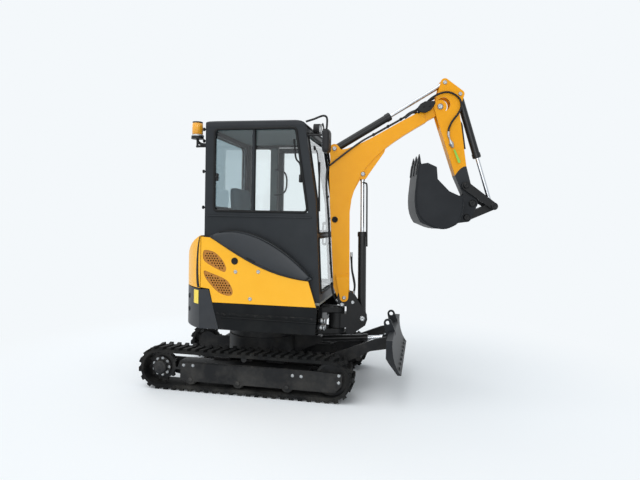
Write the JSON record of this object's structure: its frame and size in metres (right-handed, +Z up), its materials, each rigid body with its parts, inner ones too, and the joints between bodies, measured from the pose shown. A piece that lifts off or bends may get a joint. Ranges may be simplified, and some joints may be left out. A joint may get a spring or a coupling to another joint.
{
  "type": "mini excavator",
  "caption": "Compact tracked excavator with a glazed cab, slewing house, swing boom, arm and bucket on hydraulic cylinders, and a raised front blade.",
  "frame": {"origin": "on the ground under the slew axis", "axes": "+X forward to the blade, +Y to the machine's left, +Z up"},
  "size_m": [3.1379, 1.32, 2.8471],
  "materials": {
    "track_rubber": "matte black rubber",
    "chassis_black": "satin black paint",
    "wheel_steel": "dark machined steel",
    "blade_paint": "worn charcoal paint",
    "body_yellow": "gloss yellow paint",
    "boom_yellow": "gloss orange yellow paint",
    "cab_black": "satin charcoal paint",
    "weight_grey": "painted grey casting",
    "cylinder_black": "gloss black paint",
    "rod_chrome": "hard chrome",
    "window_glass": "clear tinted glass",
    "seat_fabric": "blue-grey woven fabric",
    "trim_grey": "grey moulded plastic",
    "engine_iron": "bare casting",
    "beacon_amber": "amber lens"
  },
  "bodies": {
    "undercarriage": {"track_right": "track_rubber", "track_left": "track_rubber", "track_frame_right": "chassis_black", "track_frame_left": "chassis_black", "drive_sprockets": "wheel_steel", "idlers": "wheel_steel", "rollers": "wheel_steel", "centre_frame": "chassis_black", "slew_ring": "wheel_steel"},
    "blade": {"blade": "blade_paint", "blade_arms": "chassis_black"},
    "blade_barrel": {"blade_barrel": "cylinder_black"},
    "blade_rod": {"blade_rod": "rod_chrome"},
    "house": {"house_deck": "chassis_black", "counterweight": "weight_grey", "engine_block": "engine_iron", "side_panel_right": "body_yellow", "side_panel_left": "body_yellow", "fender": "cab_black", "swing_bracket": "chassis_black", "cab_frame": "cab_black", "cab_side_right": "cab_black", "cab_side_left": "cab_black", "cab_roof": "cab_black", "side_glass": "window_glass", "windshield": "window_glass", "rear_glass": "window_glass", "cab_floor": "trim_grey", "seat_base": "trim_grey", "seat_cushion": "seat_fabric", "seat_back": "seat_fabric", "consoles": "trim_grey", "travel_levers": "chassis_black", "work_light": "chassis_black", "side_mirror": "chassis_black", "beacon": "beacon_amber"},
    "door": {"door": "cab_black", "door_glass": "window_glass"},
    "hood": {"engine_hood": "body_yellow"},
    "swing_post": {"swing_post": "chassis_black"},
    "boom": {"boom": "boom_yellow"},
    "boom_barrel": {"boom_barrel": "cylinder_black"},
    "boom_rod": {"boom_rod": "rod_chrome"},
    "arm": {"arm": "boom_yellow"},
    "arm_barrel": {"arm_barrel": "cylinder_black"},
    "arm_rod": {"arm_rod": "rod_chrome"},
    "bucket": {"bucket": "blade_paint", "bucket_teeth": "blade_paint"},
    "rocker": {"rocker": "chassis_black"},
    "bucket_link": {"bucket_link": "chassis_black"},
    "bucket_barrel": {"bucket_barrel": "cylinder_black"},
    "bucket_rod": {"bucket_rod": "rod_chrome"}
  },
  "joints": [
    {"name": "house_slew", "type": "hinge", "parent": "undercarriage", "child": "house", "pos_m": [0, 0, 0.55], "axis": [0, 0, 1], "continuous": true},
    {"name": "blade_lift", "type": "hinge", "parent": "undercarriage", "child": "blade", "pos_m": [0.64, 0, 0.25], "axis": [0, 1, 0], "range_deg": [-2, 40]},
    {"name": "blade_barrel_pivot", "type": "hinge", "parent": "undercarriage", "child": "blade_barrel", "pos_m": [0.56, 0, 0.4], "axis": [0, 1, 0], "range_deg": [-3.69, 35.72]},
    {"name": "blade_rod_slide", "type": "slide", "parent": "blade_barrel", "child": "blade_rod", "axis": [0.9963, 0, 0.0863], "range_m": [-0.00846, 0.09324]},
    {"name": "door_hinge", "type": "hinge", "parent": "house", "child": "door", "pos_m": [-0.044, 0.566, 1.5], "axis": [0, 0, 1], "range_deg": [0, 150]},
    {"name": "hood_hinge", "type": "hinge", "parent": "house", "child": "hood", "pos_m": [-0.416, 0, 1.397], "axis": [0, 1, 0], "range_deg": [0, 60]},
    {"name": "boom_swing", "type": "hinge", "parent": "house", "child": "swing_post", "pos_m": [0.745, -0.15, 0.62], "axis": [0, 0, -1], "range_deg": [-65.5, 59.5]},
    {"name": "boom_lift", "type": "hinge", "parent": "swing_post", "child": "boom", "pos_m": [0.80714, -0.1396, 0.839], "axis": [-0.165, 0.9863, 0], "range_deg": [-2, 95]},
    {"name": "boom_barrel_pivot", "type": "hinge", "parent": "swing_post", "child": "boom_barrel", "pos_m": [0.97579, -0.11138, 0.65], "axis": [-0.165, 0.9863, 0], "range_deg": [-3.99, 96.44]},
    {"name": "boom_rod_slide", "type": "slide", "parent": "boom_barrel", "child": "boom_rod", "axis": [-0.0179, -0.003, 0.9998], "range_m": [-0.37967, 0.01191]},
    {"name": "arm_crowd", "type": "hinge", "parent": "boom", "child": "arm", "pos_m": [1.62378, -0.00294, 2.589], "axis": [0.165, -0.9863, 0], "range_deg": [-3, 95]},
    {"name": "arm_barrel_pivot", "type": "hinge", "parent": "boom", "child": "arm_barrel", "pos_m": [0.69174, -0.15891, 2.195], "axis": [0.165, -0.9863, 0], "range_deg": [-4.3, 2.07]},
    {"name": "arm_rod_slide", "type": "slide", "parent": "arm_barrel", "child": "arm_rod", "axis": [0.8374, 0.1401, 0.5283], "range_m": [-0.32618, 0.01417]},
    {"name": "bucket_curl", "type": "hinge", "parent": "arm", "child": "bucket", "pos_m": [1.93051, 0.04839, 1.723], "axis": [0.165, -0.9863, 0], "range_deg": [-3, 150]},
    {"name": "rocker_pivot", "type": "hinge", "parent": "arm", "child": "rocker", "pos_m": [1.86641, 0.03766, 1.88], "axis": [0.165, -0.9863, 0], "range_deg": [-3.38, 71.2]},
    {"name": "link_pivot", "type": "hinge", "parent": "bucket", "child": "bucket_link", "pos_m": [1.88317, 0.04047, 1.595], "axis": [0.165, -0.9863, 0], "range_deg": [-105.56, 4.07]},
    {"name": "bucket_barrel_pivot", "type": "hinge", "parent": "arm", "child": "bucket_barrel", "pos_m": [1.79835, 0.02627, 2.706], "axis": [0.165, -0.9863, 0], "range_deg": [-2.18, 10.86]},
    {"name": "bucket_rod_slide", "type": "slide", "parent": "bucket_barrel", "child": "bucket_rod", "axis": [0.3032, 0.0507, -0.9516], "range_m": [-0.33252, 0.01057]}
  ],
  "couplings": [
    {"joint": "blade_barrel_pivot", "follows": "blade_lift", "ratio": 0.84299},
    {"joint": "blade_rod_slide", "follows": "blade_lift", "m_per_rad": 0.12782},
    {"joint": "boom_barrel_pivot", "follows": "boom_lift", "ratio": 0.99413},
    {"joint": "boom_rod_slide", "follows": "boom_lift", "m_per_rad": -0.22657},
    {"joint": "arm_barrel_pivot", "follows": "arm_crowd", "ratio": -0.024262},
    {"joint": "arm_rod_slide", "follows": "arm_crowd", "m_per_rad": -0.19431},
    {"joint": "rocker_pivot", "follows": "bucket_curl", "ratio": 0.46134},
    {"joint": "link_pivot", "follows": "bucket_curl", "ratio": -0.69039},
    {"joint": "bucket_barrel_pivot", "follows": "bucket_curl", "ratio": 0.05909},
    {"joint": "bucket_rod_slide", "follows": "bucket_curl", "m_per_rad": -0.12548}
  ]
}
